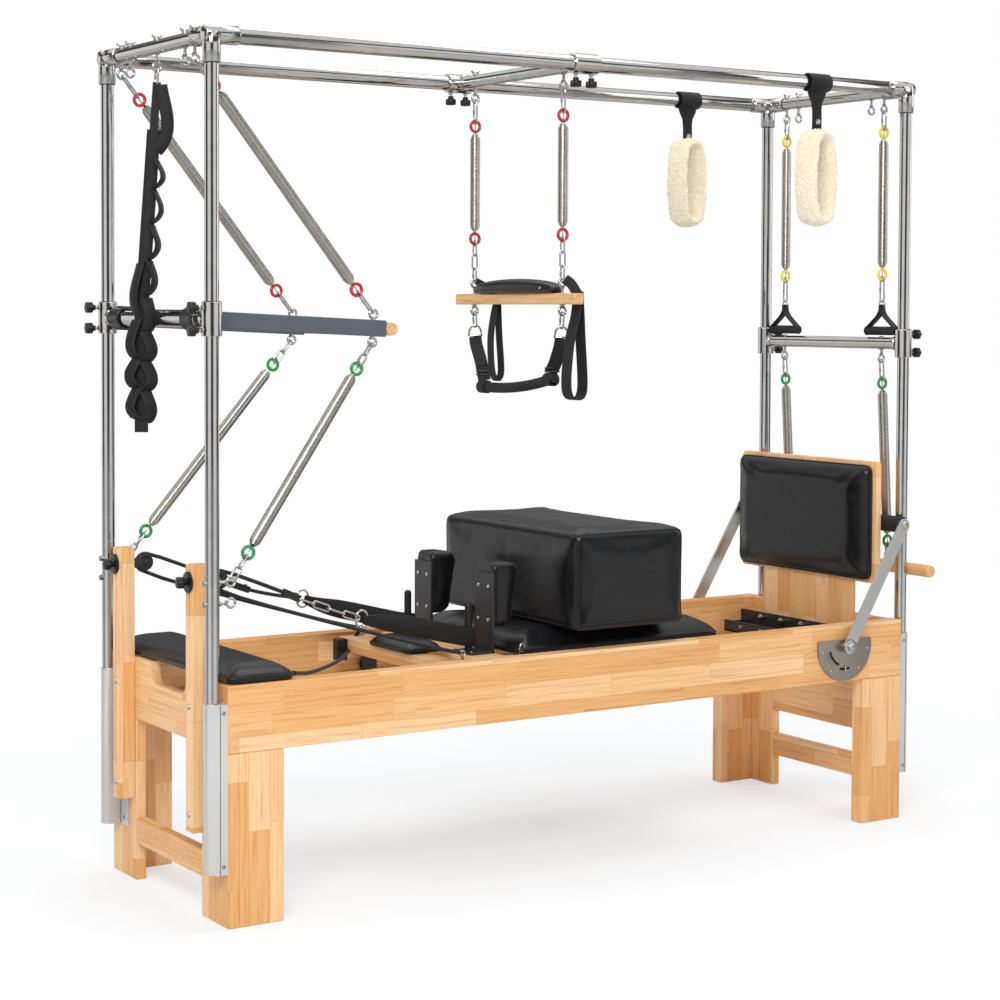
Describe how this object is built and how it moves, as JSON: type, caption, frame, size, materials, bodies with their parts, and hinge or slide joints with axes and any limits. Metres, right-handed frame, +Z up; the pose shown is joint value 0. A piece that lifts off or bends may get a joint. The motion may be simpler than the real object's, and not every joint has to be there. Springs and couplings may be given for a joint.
{
  "type": "pilates trapeze table",
  "caption": "Wooden sliding-carriage pilates bed under a steel tube canopy with springs, trapeze, push-through bar, roll-down bar, hand loops, jump board and sitting box.",
  "frame": {"origin": "on the floor, at the middle of the footprint's outer box", "axes": "+X towards the foot end with the jump board, +Y towards the side away from the picture's camera, +Z up"},
  "size_m": [2.376, 0.81, 2.1865],
  "materials": {
    "bed_wood": "satin varnish",
    "dowel_wood": "satin varnish",
    "chrome_tube": "polished",
    "satin_bracket": "satin",
    "spring_wire": "bright drawn wire",
    "slate_frame": "satin powder coat",
    "black_steel": "satin powder coat",
    "black_leather": "semi-matte",
    "black_webbing": "matte woven",
    "fleece": "deep pile",
    "grey_plate": "satin",
    "silver_tube": "satin silver",
    "black_plastic": "moulded"
  },
  "bodies": {
    "frame": {"near_side_board": "bed_wood", "far_side_board": "bed_wood", "head_end_frame": "bed_wood", "foot_end_frame": "bed_wood", "head_platform_pad": "black_leather", "near_riser": "bed_wood", "far_riser": "bed_wood", "head_near_post": "chrome_tube", "head_far_post": "chrome_tube", "foot_near_post": "chrome_tube", "foot_far_post": "chrome_tube", "head_near_post_bracket": "satin_bracket", "head_far_post_bracket": "satin_bracket", "foot_near_post_bracket": "satin_bracket", "foot_far_post_bracket": "satin_bracket", "near_top_rail": "chrome_tube", "far_top_rail": "chrome_tube", "head_top_rail": "chrome_tube", "foot_top_rail": "chrome_tube", "near_quadrant_plate": "grey_plate", "far_quadrant_plate": "grey_plate", "spring_bar": "black_steel", "head_crossbar": "chrome_tube", "near_upper_push_spring": "spring_wire", "far_upper_push_spring": "spring_wire", "near_lower_push_spring": "spring_wire", "far_lower_push_spring": "spring_wire"},
    "carriage": {"carriage_frame": "bed_wood", "carriage_pad": "black_leather", "near_shoulder_rest": "black_leather", "far_shoulder_rest": "black_leather", "near_rope": "black_webbing", "far_rope": "black_webbing"},
    "sitting_box": {"sitting_box": "black_leather"},
    "headrest": {"headrest": "black_leather"},
    "jump_board": {"jump_board": "bed_wood", "jump_board_pad": "black_leather"},
    "foot_bar": {"foot_bar": "silver_tube"},
    "push_bar": {"push_bar_frame": "slate_frame", "push_bar_grip": "dowel_wood"},
    "foot_crossbar": {"foot_crossbar": "chrome_tube"},
    "roll_bar": {"roll_down_bar": "dowel_wood", "near_roll_down_spring": "spring_wire", "far_roll_down_spring": "spring_wire"},
    "trapeze_crossbar": {"trapeze_crossbar": "chrome_tube"},
    "trapeze": {"trapeze_bar": "dowel_wood", "trapeze_pad": "black_leather", "trapeze_sling": "black_webbing", "trapeze_near_loop": "black_webbing", "near_trapeze_spring": "spring_wire", "far_trapeze_spring": "spring_wire"},
    "near_arm_strap": {"near_arm_spring": "spring_wire", "near_hand_strap": "black_webbing"},
    "far_arm_strap": {"far_arm_spring": "spring_wire", "far_hand_strap": "black_webbing"},
    "near_fleece": {"near_fleece_loop": "fleece"},
    "far_fleece": {"far_fleece_loop": "fleece"},
    "loop_strap": {"loop_strap": "black_webbing"},
    "near_pulley": {"near_pulley": "black_plastic"},
    "far_pulley": {"far_pulley": "black_plastic"}
  },
  "joints": [
    {"name": "carriage_roll", "type": "slide", "parent": "frame", "child": "carriage", "axis": [1, 0, 0], "range_m": [-0.4, 0.44], "deforming": ["near_rope", "far_rope"]},
    {"name": "sitting_box_lift", "type": "slide", "parent": "carriage", "child": "sitting_box", "axis": [0, 0, 1], "range_m": [0, 0.25]},
    {"name": "headrest_tilt", "type": "hinge", "parent": "carriage", "child": "headrest", "pos_m": [-0.335, 0, 0.5803], "axis": [0, 1, 0], "range_deg": [0, 35]},
    {"name": "jump_board_lift", "type": "slide", "parent": "frame", "child": "jump_board", "axis": [0, 0, 1], "range_m": [0, 0.25]},
    {"name": "foot_bar_pivot", "type": "hinge", "parent": "frame", "child": "foot_bar", "pos_m": [0.871, 0, 0.53], "axis": [0, 1, 0], "range_deg": [-0.9, 0]},
    {"name": "push_bar_swing", "type": "hinge", "parent": "frame", "child": "push_bar", "pos_m": [-1.125, 0, 1.472], "axis": [0, 1, 0], "range_deg": [-30, 30], "stiffness_Nm_per_rad": 150, "springref_deg": -11.46, "deforming": ["near_upper_push_spring", "far_upper_push_spring", "near_lower_push_spring", "far_lower_push_spring"]},
    {"name": "foot_crossbar_height", "type": "slide", "parent": "frame", "child": "foot_crossbar", "axis": [0, 0, 1], "range_m": [-0.15, 0]},
    {"name": "roll_bar_swing", "type": "hinge", "parent": "foot_crossbar", "child": "roll_bar", "pos_m": [1.125, 0, 1.358], "axis": [0, -1, 0], "range_deg": [0, 40]},
    {"name": "trapeze_crossbar_slide", "type": "slide", "parent": "frame", "child": "trapeze_crossbar", "axis": [1, 0, 0], "range_m": [-0.35, 0.6]},
    {"name": "trapeze_swing", "type": "hinge", "parent": "trapeze_crossbar", "child": "trapeze", "pos_m": [-0.04, 0, 2.1], "axis": [0, 1, 0], "range_deg": [-30, 30]},
    {"name": "near_arm_strap_swing", "type": "hinge", "parent": "frame", "child": "near_arm_strap", "pos_m": [1.125, -0.22, 2.1], "axis": [0, 1, 0], "range_deg": [-40, 60]},
    {"name": "far_arm_strap_swing", "type": "hinge", "parent": "frame", "child": "far_arm_strap", "pos_m": [1.125, 0.22, 2.1], "axis": [0, 1, 0], "range_deg": [-40, 60]},
    {"name": "near_fleece_swing", "type": "hinge", "parent": "frame", "child": "near_fleece", "pos_m": [0.777, -0.313, 2.15], "axis": [1, 0, 0], "range_deg": [-35, 35]},
    {"name": "far_fleece_swing", "type": "hinge", "parent": "frame", "child": "far_fleece", "pos_m": [0.8, 0.313, 2.15], "axis": [1, 0, 0], "range_deg": [-35, 35]},
    {"name": "loop_strap_swing", "type": "hinge", "parent": "frame", "child": "loop_strap", "pos_m": [-1.125, 0, 2.1], "axis": [0, 1, 0], "range_deg": [0, 40]},
    {"name": "near_pulley_turn", "type": "hinge", "parent": "frame", "child": "near_pulley", "pos_m": [-1.0623, -0.223, 0.832], "axis": [0, 1, 0], "continuous": true},
    {"name": "far_pulley_turn", "type": "hinge", "parent": "frame", "child": "far_pulley", "pos_m": [-1.0623, 0.223, 0.832], "axis": [0, 1, 0], "continuous": true}
  ]
}
